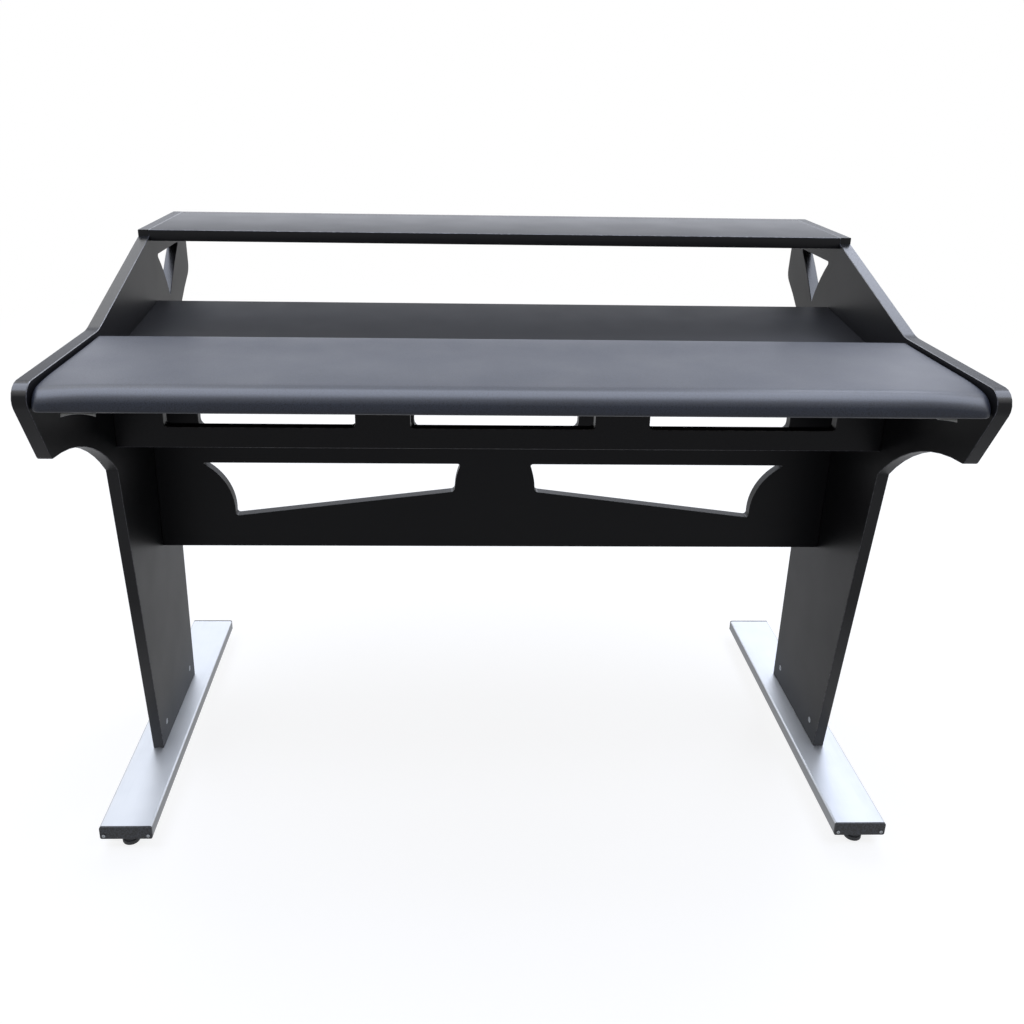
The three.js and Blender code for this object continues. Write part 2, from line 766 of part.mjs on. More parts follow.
function footRail(foot, side) {
  const profile = rectangle(-footWidth / 2, 0, footWidth / 2, footHeight, footCornerRadius);
  const channel = rectangle(-channelHalf, footWall, channelHalf, footHeight - footWall);
  const ports = portXs.map((x) => circle(x, portInset, portHoleRadius));
  const railLength = footLength - 2 * capThickness;
  const alongRail = (points, overrun) => extrude(points, railLength + 2 * overrun)
    .applyMatrix4(towardsFront).translate(0, footLength - capThickness + overrun, 0);
  const blank = alongRail(profile, 0);
  const hollows = [chamberOutline(-1), channel, chamberOutline(1), ...ports]
    .map((points) => alongRail(points, cutOverrun));
  const studs = ends.map((end) => rod(vec(0, end.y + end.sign * levellerInset, -cutOverrun),
    vec(0, end.y + end.sign * levellerInset, cutOverrun), studRadius + fitGap, fineSides));
  const access = legBoltYs.map((y) => rod(vec(0, y, -cutOverrun), vec(0, y, cutOverrun),
    legBoltAccessRadius, fineSides));
  const bolts = legBoltYs.map((y) => rod(vec(0, y, footHeight - cutOverrun),
    vec(0, y, footHeight + cutOverrun), legBoltRadius + fitGap));
  addPiece(foot, `foot_rail_${side.name}`, cut(blank, [...hollows, ...studs, ...access, ...bolts]),
    anodised);
}

// Moulded end cap: a plate over the rail's end and a hollow spigot in its middle channel
function endCap(foot, side, end) {
  const tag = `${end.name}_${side.name}`;
  const screwHoles = portXs.map((x) => circle(x, portInset, capScrewRadius + fitGap));
  const face = rectangle(-footWidth / 2, 0, footWidth / 2, footHeight, footCornerRadius);
  const plate = extrude(face, capThickness - fitGap, screwHoles);
  const reach = channelHalf - fitGap;
  const low = footWall + fitGap;
  const high = footHeight - footWall - fitGap;
  const spigot = extrude(rectangle(-reach, low, reach, high), capThickness + capSpigotDepth,
    [rectangle(-reach + capSpigotWall, low + capSpigotWall, reach - capSpigotWall,
      high - capSpigotWall)]);
  const cap = join([plate, spigot]).applyMatrix4(towardsFront);
  if (end.sign > 0) cap.rotateZ(Math.PI);
  const mesh = addPiece(foot, `end_cap_${tag}`, cap, plastic);
  mesh.position.y = end.y;
  portXs.forEach((x) => {
    const geometry = turned([
      [0, -capScrewLength], [capScrewRadius, -capScrewLength], [capScrewRadius, fitGap],
      [capScrewHeadRadius, fitGap], [capScrewHeadRadius, capScrewHeadHeight / 2 + fitGap],
      [capScrewHeadRadius / 2, capScrewHeadHeight + fitGap], [0, capScrewHeadHeight + fitGap],
    ], coarseSides);
    geometry.rotateX(end.sign * Math.PI / 2);
    const edge = x * side.sign > 0 ? 'outer' : 'inner';
    addPiece(foot, `cap_screw_${tag}_${edge}`, geometry, zinc, vec(x, end.y, portInset));
  });
}

// Leveller: a plastic base that turns on the head of a threaded stud, and a steel nut plate
// held in the rail's channel
function leveller(foot, side, end) {
  const tag = `${end.name}_${side.name}`;
  const place = vec(0, end.y + end.sign * levellerInset, -levellerHeight);
  const boreRadius = studRadius + studRunningGap;
  const headBottom = baseFloor + fitGap;
  const headTop = headBottom + studHeadHeight;
  const baseTop = levellerHeight - baseFootGap;
  const base = turned([
    [0, 0], [baseRadius - baseEdgeRadius, 0], [baseRadius, baseEdgeRadius],
    [baseRadius, baseRimHeight - baseEdgeRadius], [baseRadius - baseEdgeRadius, baseRimHeight],
    [baseHubRadius, baseRimHeight], [baseHubRadius, baseTop], [boreRadius, baseTop],
    [boreRadius, headTop + fitGap], [studHeadRadius + fitGap, headTop + fitGap],
    [studHeadRadius + fitGap, baseFloor], [0, baseFloor],
  ], fineSides);
  addPiece(foot, `leveller_base_${tag}`, base, plastic, place);
  const studTop = levellerHeight + footHeight - footWall - studTopGap;
  const stud = turned([
    [0, headBottom], [studHeadRadius, headBottom], [studHeadRadius, headTop],
    [studRadius, headTop], [studRadius, studTop], [0, studTop],
  ], fineSides);
  addPiece(foot, `leveller_stud_${tag}`, stud, zinc, place);
  const half = channelHalf - fitGap;
  const low = levellerHeight + footWall + fitGap;
  const blank = box(-half, -nutPlateHalf, low, half, nutPlateHalf, low + nutPlateHeight);
  const bore = rod(vec(0, 0, 0), vec(0, 0, studTop), boreRadius, fineSides);
  addPiece(foot, `leveller_nut_plate_${tag}`, cut(blank, [bore]), zinc, place);
}

// Bolts from inside the rail up into the leg, each held by a cross dowel
function legFixings(foot, side) {
  const seat = footHeight - footWall - fitGap;
  const top = legBoltTopZ - levellerHeight;
  const bolt = turned([
    [0, seat - legBoltHeadHeight], [legBoltHeadRadius, seat - legBoltHeadHeight],
    [legBoltHeadRadius, seat], [legBoltRadius, seat], [legBoltRadius, top], [0, top],
  ], coarseSides);
  const faceX = -side.sign * boardThickness / 2;
  const height = dowelZ - levellerHeight;
  const slot = box(-dowelSlotDepth, -dowelRadius - cutOverrun, -dowelSlotWidth / 2,
    dowelSlotDepth, dowelRadius + cutOverrun, dowelSlotWidth / 2);
  const barrel = rod(vec(faceX, 0, 0), vec(faceX + side.sign * dowelLength, 0, 0), dowelRadius,
    fineSides);
  const thread = rod(vec(0, 0, -dowelRadius - cutOverrun), vec(0, 0, dowelRadius + cutOverrun),
    legBoltRadius + fitGap);
  const dowel = cut(barrel, [thread, slot.translate(faceX, 0, 0)]);
  legBoltYs.forEach((y, i) => {
    const tag = `${ends[i].name}_${side.name}`;
    addPiece(foot, `leg_bolt_${tag}`, bolt.clone(), zinc, vec(0, y, 0));
    addPiece(foot, `cross_dowel_${tag}`, dowel.clone(), zinc, vec(0, y, height));
  });
}

sides.forEach((side) => {
  const foot = new THREE.Group();
  foot.position.set(side.sign * legMiddleX, 0, levellerHeight);
  assembly.add(foot);
  footRail(foot, side);
  legFixings(foot, side);
  ends.forEach((end) => {
    endCap(foot, side, end);
    leveller(foot, side, end);
  });
});

export default desk;
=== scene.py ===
"""Studio desk: finishes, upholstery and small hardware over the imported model, in metres."""
import json
from math import pi, radians

import bpy
import numpy as np
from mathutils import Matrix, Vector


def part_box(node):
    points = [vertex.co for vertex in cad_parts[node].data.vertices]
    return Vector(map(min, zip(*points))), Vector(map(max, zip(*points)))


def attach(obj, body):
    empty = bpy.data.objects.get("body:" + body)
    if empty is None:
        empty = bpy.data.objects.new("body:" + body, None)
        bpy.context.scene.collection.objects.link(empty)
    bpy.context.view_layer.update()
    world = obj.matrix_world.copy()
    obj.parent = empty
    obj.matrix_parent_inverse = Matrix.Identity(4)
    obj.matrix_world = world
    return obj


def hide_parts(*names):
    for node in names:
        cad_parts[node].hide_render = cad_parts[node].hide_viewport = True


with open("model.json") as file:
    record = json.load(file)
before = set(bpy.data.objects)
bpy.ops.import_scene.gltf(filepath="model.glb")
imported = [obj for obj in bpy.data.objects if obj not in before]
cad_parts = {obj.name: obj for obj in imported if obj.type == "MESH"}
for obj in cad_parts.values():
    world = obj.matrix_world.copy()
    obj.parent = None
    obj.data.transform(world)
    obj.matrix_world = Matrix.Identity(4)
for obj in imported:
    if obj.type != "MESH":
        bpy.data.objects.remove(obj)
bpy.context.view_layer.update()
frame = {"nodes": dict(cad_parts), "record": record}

MM = 0.001
SIDES = {"left": -1, "right": 1}
ENDS = {"front": -1, "rear": 1}

# Places that the pieces start from
cushion_low, cushion_high = (np.array(corner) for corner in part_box("armrest_cushion"))
board_low, board_high = (np.array(corner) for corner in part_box("armrest_board"))


# Meshes

def smooth_faces(mesh):
    """Shades every face of a mesh smooth."""
    mesh.polygons.foreach_set("use_smooth", np.full(len(mesh.polygons), True))


def make_piece(name, points, faces, finish, body="desk"):
    """A piece from an (n, 3) array of points in metres and a list of faces, riding on a body."""
    mesh = bpy.data.meshes.new(name)
    mesh.from_pydata(points.tolist(), [], [tuple(face) for face in faces])
    mesh.validate()
    smooth_faces(mesh)
    mesh.materials.append(finish)
    piece = bpy.data.objects.new(name, mesh)
    bpy.context.scene.collection.objects.link(piece)
    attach(piece, body)
    return piece


def grid_of(x, y, z):
    """One grid of points from three arrays of coordinates that are spread over each other."""
    return np.stack(np.broadcast_arrays(x, y, z), axis=-1)


def grid_faces(rows, columns, closed=False):
    """The quads of a grid of rows x columns points, row by row. A closed grid also joins its last
    column to its first."""
    across = columns if closed else columns - 1
    row, column = np.meshgrid(np.arange(rows - 1), np.arange(across), indexing="ij")
    beside = (column + 1) % columns
    corners = (row * columns + column, row * columns + beside,
               (row + 1) * columns + beside, (row + 1) * columns + column)
    return np.stack(corners, axis=-1).reshape(-1, 4)


DOUBLE_REACH = 0.001 * MM


def closed_mesh(grid):
    """The points and faces of a grid that is closed along its rows, with doubled points made one:
    places are rounded to DOUBLE_REACH, and a face loses the corners that fall together."""
    rows, columns = grid.shape[:2]
    points = grid.reshape(-1, 3)
    _, first, same = np.unique(np.round(points / DOUBLE_REACH).astype(np.int64), axis=0,
                               return_index=True, return_inverse=True)
    faces = [list(dict.fromkeys(face)) for face in same.ravel()[grid_faces(rows, columns, True)].tolist()]
    return points[first], [face for face in faces if len(face) > 2]


def sharpen(piece, degrees):
    """Smooth faces with a crisp line wherever two meet at more than some degrees."""
    split = piece.modifiers.new("crisp lines", "EDGE_SPLIT")
    split.split_angle = radians(degrees)


def thicken(piece, thickness, offset):
    """Gives a sheet its wall: offset 1 puts it on the side that the faces look to, 0 half on each."""
    wall = piece.modifiers.new("cloth thickness", "SOLIDIFY")
    wall.thickness, wall.offset = thickness, offset


# Materials

def linear(code):
    """The linear colour of an sRGB hex code: c / 12.92 below 0.04045, else ((c + 0.055) / 1.055) ** 2.4."""
    shares = np.array([int(code[i:i + 2], 16) / 255 for i in (1, 3, 5)])
    steep = ((shares + 0.055) / 1.055) ** 2.4
    return (*np.where(shares <= 0.04045, shares / 12.92, steep), 1)


def wire(tree, node, sockets):
    """Gives a node's inputs their values, or links them to an output or to a node's first output."""
    for name, value in sockets.items():
        if isinstance(value, bpy.types.Node):
            value = value.outputs[0]
        if isinstance(value, bpy.types.NodeSocket):
            tree.links.new(value, node.inputs[name])
        else:
            node.inputs[name].default_value = value


def add(tree, kind, sockets=None, **settings):
    """Adds a node of one kind: settings are its own properties, sockets its input values or links."""
    node = tree.nodes.new("ShaderNode" + kind)
    for name, value in settings.items():
        setattr(node, name, value)
    wire(tree, node, sockets or {})
    return node


def new_material(name):
    """An empty material with a Principled surface, as (material, tree, shader)."""
    material = bpy.data.materials.new(name)
    material.use_nodes = True
    tree = material.node_tree
    return material, tree, tree.nodes["Principled BSDF"]


def per_metre(size_mm):
    """The texture scale that gives a pattern one feature in every size_mm millimetres."""
    return 1 / (size_mm * MM)


# Heights between which shoes rub the bands, from hardly at all to the most
SHOE_REACH, SHOE_HEIGHT = 350 * MM, 50 * MM


def laminate(name, face_axis, dulling=(0.38, 0.41), ior=1.2, arris="#6c6c71"):
    """Black melamine-faced chipboard: a fine pearl embossing pressed into the faces, a smoother
    ABS band on the edges, shiny where it slopes up and is rubbed by sleeves and hands and near
    the floor where shoes rub it, and paler arrises, partly where the band is scraped flush and
    partly a painted highlight on the chamfers. face_axis is the axis that the board's faces look
    along, and dulling their lowest and highest roughness."""
    material, tree, shader = new_material(name)
    place = add(tree, "TexCoord")
    facing = add(tree, "SeparateXYZ", {"Vector": place.outputs["Normal"]})
    # The normal's share along face_axis is 1 on the faces, 0 on the bands and between on the arrises
    turned = add(tree, "Math", {0: facing.outputs[face_axis]}, operation="ABSOLUTE")
    on_face = add(tree, "MapRange", {"Value": turned, "From Min": 0.93, "From Max": 0.97})
    off_face = add(tree, "Math", {0: 1, 1: on_face}, operation="SUBTRACT")
    past_band = add(tree, "MapRange", {"Value": turned, "From Min": 0.35, "From Max": 0.5})
    on_arris = add(tree, "Math", {0: past_band, 1: on_face}, operation="SUBTRACT")
    upward = add(tree, "MapRange", {"Value": facing.outputs["Z"], "From Min": 0.3, "From Max": 0.6})
    level = add(tree, "MapRange", {"Value": facing.outputs["Z"], "From Min": 0.9, "From Max": 0.99})
    sloping = add(tree, "Math", {0: upward, 1: level}, operation="SUBTRACT")
    rubbed = add(tree, "Math", {0: sloping, 1: on_face}, operation="SUBTRACT", use_clamp=True)
    if face_axis != "X":
        # The ends stand against the side panels, where nothing rubs them; there the pale arrises, partly a
        # painted highlight, and the coat are taken off
        endways = add(tree, "Math", {0: facing.outputs["X"]}, operation="ABSOLUTE")
        exposed = add(tree, "MapRange", {"Value": endways, "From Min": 0.3, "From Max": 0.5,
                                         "To Min": 1, "To Max": 0})
        on_arris = add(tree, "Math", {0: on_arris, 1: exposed}, operation="MULTIPLY")
        rubbed = add(tree, "Math", {0: rubbed, 1: exposed}, operation="MULTIPLY")
    spot = add(tree, "SeparateXYZ", {"Vector": place.outputs["Object"]})
    kicked = add(tree, "MapRange", {"Value": spot.outputs["Z"], "From Min": SHOE_REACH,
                                    "From Max": SHOE_HEIGHT, "To Min": 0.08, "To Max": 0.5})
    kicked_band = add(tree, "Math", {0: kicked, 1: off_face}, operation="MULTIPLY")
    shiny = add(tree, "Math", {0: rubbed, 1: kicked_band}, operation="MAXIMUM")
    # Real pearl embossing has grains of about 0.6 mm; 1.5 mm is the finest that shows here
    pearl = add(tree, "TexNoise", {"Vector": place.outputs["Object"], "Scale": per_metre(1.5),
                                   "Detail": 2, "Roughness": 0.6})
    mottle = add(tree, "TexNoise", {"Vector": place.outputs["Object"], "Scale": per_metre(70),
                                    "Detail": 2, "Roughness": 0.4})
    scuffs = add(tree, "TexNoise", {"Vector": place.outputs["Object"], "Scale": per_metre(6),
                                    "Detail": 5, "Roughness": 0.7})
    face = add(tree, "MixRGB", {"Fac": mottle, "Color1": linear("#161618"), "Color2": linear("#18181a")})
    grain = add(tree, "MapRange", {"Value": pearl, "From Min": 0.35, "From Max": 0.7, "To Max": 0.5})
    speckled = add(tree, "MixRGB", {"Fac": grain, "Color1": face, "Color2": linear("#1f1f21")})
    band = add(tree, "MixRGB", {"Fac": on_face, "Color1": linear("#18181a"), "Color2": speckled})
    worn = add(tree, "MapRange", {"Value": scuffs, "From Min": 0.42, "From Max": 0.68,
                                  "To Min": 0.25, "To Max": 1})
    # The paler arrises are partly scraped wear and partly a painted highlight on the chamfers
    wear_and_highlight = add(tree, "Math", {0: on_arris, 1: worn}, operation="MULTIPLY")
    colour = add(tree, "MixRGB", {"Fac": wear_and_highlight, "Color1": band, "Color2": linear(arris)})
    dull = add(tree, "MapRange", {"Value": mottle, "From Min": 0.3, "From Max": 0.7,
                                  "To Min": dulling[0], "To Max": dulling[1]})
    band_sheen = add(tree, "MapRange", {"Value": rubbed, "To Min": 0.44, "To Max": 0.28})
    sheen = add(tree, "MixRGB", {"Fac": on_face, "Color1": band_sheen, "Color2": dull})
    depth = add(tree, "Math", {0: pearl, 1: on_face}, operation="MULTIPLY")
    bump = add(tree, "Bump", {"Height": depth, "Distance": 0.12 * MM, "Strength": 0.35})
    wire(tree, shader, {"Base Color": colour, "Roughness": sheen, "Normal": bump, "IOR": ior,
                        "Coat Weight": shiny, "Coat Roughness": 0.23, "Coat IOR": 1.7})
    return material


def leatherette():
    """Black PVC leatherette: soft pebbles of about 1.2 mm with darker creases between them, and
    a satin shine, which forearms have rubbed smoother on the rolled front edge."""
    material, tree, shader = new_material("pvc_leatherette")
    place = add(tree, "TexCoord")
    warp = add(tree, "TexNoise", {"Vector": place.outputs["Object"], "Scale": per_metre(3), "Detail": 2})
    shift = add(tree, "VectorMath", {0: warp.outputs["Color"], "Scale": 1.2 * MM}, operation="SCALE")
    bent = add(tree, "VectorMath", {0: place.outputs["Object"], 1: shift}, operation="ADD")
    pebbles = add(tree, "TexVoronoi", {"Vector": bent, "Scale": per_metre(1.2), "Smoothness": 0.5},
                  feature="SMOOTH_F1")
    fine = add(tree, "TexNoise", {"Vector": place.outputs["Object"], "Scale": per_metre(0.6), "Detail": 2})
    broad = add(tree, "TexNoise", {"Vector": place.outputs["Object"], "Scale": per_metre(90), "Detail": 4})
    crease = add(tree, "MapRange", {"Value": pebbles, "From Min": 0.35, "From Max": 0.75})
    ground = add(tree, "MixRGB", {"Fac": broad, "Color1": linear("#2c303a"), "Color2": linear("#323743")})
    colour = add(tree, "MixRGB", {"Fac": crease, "Color1": ground, "Color2": linear("#24272f")})
    dull = add(tree, "MapRange", {"Value": broad, "From Min": 0.3, "From Max": 0.7,
                                  "To Min": 0.37, "To Max": 0.43})
    facing = add(tree, "SeparateXYZ", {"Vector": place.outputs["Normal"]})
    upward = add(tree, "MapRange", {"Value": facing.outputs["Z"], "From Min": 0.3, "From Max": 0.75,
                                    "To Max": 0.8})
    forward = add(tree, "MapRange", {"Value": facing.outputs["Y"], "From Min": -0.12, "From Max": -0.45})
    rubbed = add(tree, "Math", {0: upward, 1: forward}, operation="MULTIPLY")
    height = add(tree, "Math", {0: fine, 1: 0.25, 2: pebbles}, operation="MULTIPLY_ADD")
    bump = add(tree, "Bump", {"Height": height, "Distance": 0.15 * MM, "Strength": 0.4}, invert=True)
    wire(tree, shader, {"Base Color": colour, "Roughness": dull, "Normal": bump, "IOR": 1.35,
                        "Coat Weight": rubbed, "Coat Roughness": 0.36, "Coat IOR": 1.7})
    return material


def anodised():
    """Clear anodised aluminium extrusion: a pale satin metal with drawn lines along its length,
    brushed on top, with a darker grey painted on its sides as shade."""
    material, tree, shader = new_material("anodised_aluminium")
    place = add(tree, "TexCoord")
    # Die lines are about 0.1 mm apart; 1 mm is the finest that shows here
    stretched = add(tree, "Mapping", {"Vector": place.outputs["Object"], "Scale": (1, 0.01, 1)})
    lines = add(tree, "TexNoise", {"Vector": stretched, "Scale": per_metre(1), "Detail": 3})
    haze = add(tree, "TexNoise", {"Vector": place.outputs["Object"], "Scale": per_metre(40), "Detail": 3})
    facing = add(tree, "SeparateXYZ", {"Vector": place.outputs["Normal"]})
    upward = add(tree, "Math", {0: facing.outputs["Z"]}, operation="ABSOLUTE")
    # satin is 1 on the top and 0 on the sides, which get a darker grey as painted shade
    satin = add(tree, "MapRange", {"Value": upward, "From Min": 0.1, "From Max": 0.4})
    top = add(tree, "MixRGB", {"Fac": haze, "Color1": linear("#bdc1c6"), "Color2": linear("#c6c9cd")})
    colour = add(tree, "MixRGB", {"Fac": satin, "Color1": linear("#85878a"), "Color2": top})
    dull = add(tree, "MapRange", {"Value": lines, "From Min": 0.3, "From Max": 0.7,
                                  "To Min": 0.46, "To Max": 0.54})
    bump = add(tree, "Bump", {"Height": lines, "Distance": 0.02 * MM, "Strength": 0.25})
    wire(tree, shader, {"Base Color": colour, "Roughness": dull, "Normal": bump, "Metallic": 1})
    return material


def moulded_plastic():
    """Black moulded polypropylene: an even spark-eroded grain, rough and dark."""
    material, tree, shader = new_material("moulded_polypropylene")
    place = add(tree, "TexCoord")
    # Spark-eroded grain is about 0.3 mm; 3 mm is the finest that shows here
    grain = add(tree, "TexNoise", {"Vector": place.outputs["Object"], "Scale": per_metre(3), "Detail": 3,
                                   "Roughness": 0.6})
    lift = add(tree, "MapRange", {"Value": grain, "From Min": 0.42, "From Max": 0.62})
    colour = add(tree, "MixRGB", {"Fac": lift, "Color1": linear("#0e0f11"), "Color2": linear("#3c3f45")})
    dull = add(tree, "MapRange", {"Value": grain, "From Min": 0.3, "From Max": 0.7,
                                  "To Min": 0.5, "To Max": 0.62})
    bump = add(tree, "Bump", {"Height": grain, "Distance": 0.2 * MM, "Strength": 0.5})
    wire(tree, shader, {"Base Color": colour, "Roughness": dull, "Normal": bump})
    return material


def zinc_plate(name, dark, pale, dulling):
    """Zinc-plated steel: a metal between two greys, with faint cloudy patches from the bath.
    dulling is its lowest and highest roughness: bright plate is smoother than passivated plate."""
    material, tree, shader = new_material(name)
    place = add(tree, "TexCoord")
    clouds = add(tree, "TexNoise", {"Vector": place.outputs["Object"], "Scale": per_metre(3), "Detail": 3})
    colour = add(tree, "MixRGB", {"Fac": clouds, "Color1": linear(dark), "Color2": linear(pale)})
    dull = add(tree, "MapRange", {"Value": clouds, "From Min": 0.3, "From Max": 0.7,
                                  "To Min": dulling[0], "To Max": dulling[1]})
    wire(tree, shader, {"Base Color": colour, "Roughness": dull, "Metallic": 1})
    return material


def powder_coat():
    """Black powder-coated steel: a hard satin paint with a fine orange-peel ripple."""
    material, tree, shader = new_material("powder_coated_steel")
    place = add(tree, "TexCoord")
    peel = add(tree, "TexNoise", {"Vector": place.outputs["Object"], "Scale": per_metre(1.5), "Detail": 1})
    colour = add(tree, "MixRGB", {"Fac": peel, "Color1": linear("#151517"), "Color2": linear("#1d1d20")})
    dull = add(tree, "MapRange", {"Value": peel, "To Min": 0.42, "To Max": 0.52})
    bump = add(tree, "Bump", {"Height": peel, "Distance": 0.1 * MM, "Strength": 0.4})
    wire(tree, shader, {"Base Color": colour, "Roughness": dull, "Normal": bump})
    return material


def chipboard():
    """Raw chipboard: pressed pine flakes of a few millimetres in several browns, dry and matt."""
    material, tree, shader = new_material("raw_chipboard")
    place = add(tree, "TexCoord")
    flat = add(tree, "Mapping", {"Vector": place.outputs["Object"], "Scale": (1, 1, 3)})
    flakes = add(tree, "TexVoronoi", {"Vector": flat, "Scale": per_metre(4)})
    shade = add(tree, "SeparateColor", {"Color": flakes.outputs["Color"]})
    fibre = add(tree, "TexNoise", {"Vector": flat, "Scale": per_metre(2), "Detail": 4})
    flake = add(tree, "MixRGB", {"Fac": shade, "Color1": linear("#8c6c45"), "Color2": linear("#c2a377")})
    colour = add(tree, "MixRGB", {"Fac": fibre, "Color1": flake, "Color2": linear("#6f5334")})
    bump = add(tree, "Bump", {"Height": fibre, "Distance": 0.3 * MM, "Strength": 0.5})
    wire(tree, shader, {"Base Color": colour, "Roughness": 0.9, "Normal": bump})
    return material


def backing_cloth():
    """Pale grey knitted cotton, the backing of the leatherette, which shows where it is folded."""
    material, tree, shader = new_material("knitted_backing")
    place = add(tree, "TexCoord")
    # Knit stitches are about 0.7 mm wide; 1.2 mm is the finest that shows here
    loops = add(tree, "TexVoronoi", {"Vector": place.outputs["Object"], "Scale": per_metre(1.2)})
    colour = add(tree, "MixRGB", {"Fac": loops, "Color1": linear("#e0e0dc"), "Color2": linear("#b4b4b0")})
    bump = add(tree, "Bump", {"Height": loops, "Distance": 0.2 * MM, "Strength": 0.6}, invert=True)
    wire(tree, shader, {"Base Color": colour, "Roughness": 0.95, "Normal": bump})
    return material


side_melamine = laminate("melamine_board_x", "X")
upright_melamine = laminate("melamine_board_y", "Y")
# The shelf's arrises are paler still: partly rubbed by sleeves and cables, partly a painted highlight on
# its chamfers
shelf_melamine = laminate("melamine_shelf", "Z", arris="#aeaeb4")
# Gear that is slid over the deck has worn its embossing rougher
deck_melamine = laminate("melamine_deck", "Z", (0.52, 0.56), 1.38)
skin_pvc = leatherette()
polypropylene = moulded_plastic()
bright_zinc = zinc_plate("bright_zinc_plate", "#b3b6ba", "#d2d4d6", (0.25, 0.38))
dull_zinc = zinc_plate("passivated_zinc_plate", "#85888c", "#adb0b3", (0.4, 0.5))
backing = backing_cloth()

SLOT_FINISHES = {"leatherette": skin_pvc, "raw_board": chipboard(), "black_steel": powder_coat(),
                 "anodised": anodised(), "plastic": polypropylene, "zinc": bright_zinc}
NODE_FINISHES = {"side_panel_left": side_melamine, "side_panel_right": side_melamine,
                 "monitor_shelf": shelf_melamine, "equipment_deck": deck_melamine,
                 "cable_rail": upright_melamine, "rear_panel": upright_melamine}
NODE_FINISHES.update({f"cross_dowel_{end}_{side}": dull_zinc for end in ENDS for side in SIDES})
SAME_CORNER = 0.02 * MM

slot_of = {part["node"]: part["material_slot"] for part in frame["record"]["subparts"]}
for name, node in frame["nodes"].items():
    finish = NODE_FINISHES.get(name) or SLOT_FINISHES[slot_of[name]]
    node.data.materials.clear()
    node.data.materials.append(finish)
    smooth_faces(node.data)
    weld = node.modifiers.new("joined corners", "WELD")
    weld.merge_threshold = SAME_CORNER
    sharpen(node, degrees=28)


# Armrest, whose left and right ends are -1 and 1 where they differ

CUSHION_STEP, END_POINTS, BEND_POINTS, FLAT_POINTS = 8 * MM, 9, 7, 30
END_RING_SHARES = (0, 0.35, 0.7)
NOSE_RADIUS, BACK_RADIUS, HEM_RADIUS, UNDER_RADIUS = 22 * MM, 5 * MM, 3 * MM, 5 * MM
PLAN_RADIUS, END_RADIUS = {-1: 10 * MM, 1: 13 * MM}, 2.5 * MM
CROWN, END_PULL = 2 * MM, 1 * MM
CORNER_DROOP, DROOP_REACH = {-1: 5.5 * MM, 1: 9 * MM}, (85 * MM, 80 * MM)
CUSHION_HEIGHT = cushion_high[2] - cushion_low[2] - CROWN
FOAM_SLACK = 0.3 * MM
AIR_PRESSURE, FILL_FRAMES = 4, 20
PUFF_LIMIT, EVENING_ROUNDS = 0.6 * MM, 30
HELD_HEIGHT, BOARD_RIM, BOARD_HIDE = 1.5 * MM, 2 * MM, 4 * MM


def round_in(depth, radius):
    """How far a quarter circle of some radius has still to go at a depth: r - sqrt(r^2 - (r - d)^2)."""
    short = np.clip(radius - depth, 0, radius)
    return radius - np.sqrt(radius ** 2 - short ** 2)


def rounded_section(front, back, under, top, radii):
    """A rounded rectangle in (y, z), one row per station: each corner is a quarter circle about
    its own centre and each side is straight, from the lower front corner round by the back."""
    corners = ((front, under, 1, 1, pi), (back, under, -1, 1, 1.5 * pi),
               (back, top, -1, -1, 0), (front, top, 1, -1, 0.5 * pi))
    bends = []
    for (y, z, inward, upward, start), radius in zip(corners, radii):
        turn = start + np.linspace(0, pi / 2, BEND_POINTS)
        radius = radius[:, None]
        bends.append(np.stack([y[:, None] + inward * radius + radius * np.cos(turn),
                               z[:, None] + upward * radius + radius * np.sin(turn)], axis=-1))
    path = []
    for i, count in enumerate((FLAT_POINTS, 1, FLAT_POINTS, 1)):
        here, there = bends[i], bends[(i + 1) % 4]
        share = np.linspace(0, 1, count + 2)[1:-1, None]
        path += [here, here[:, -1:] + (there[:, :1] - here[:, -1:]) * share]
    return np.concatenate(path, axis=1)


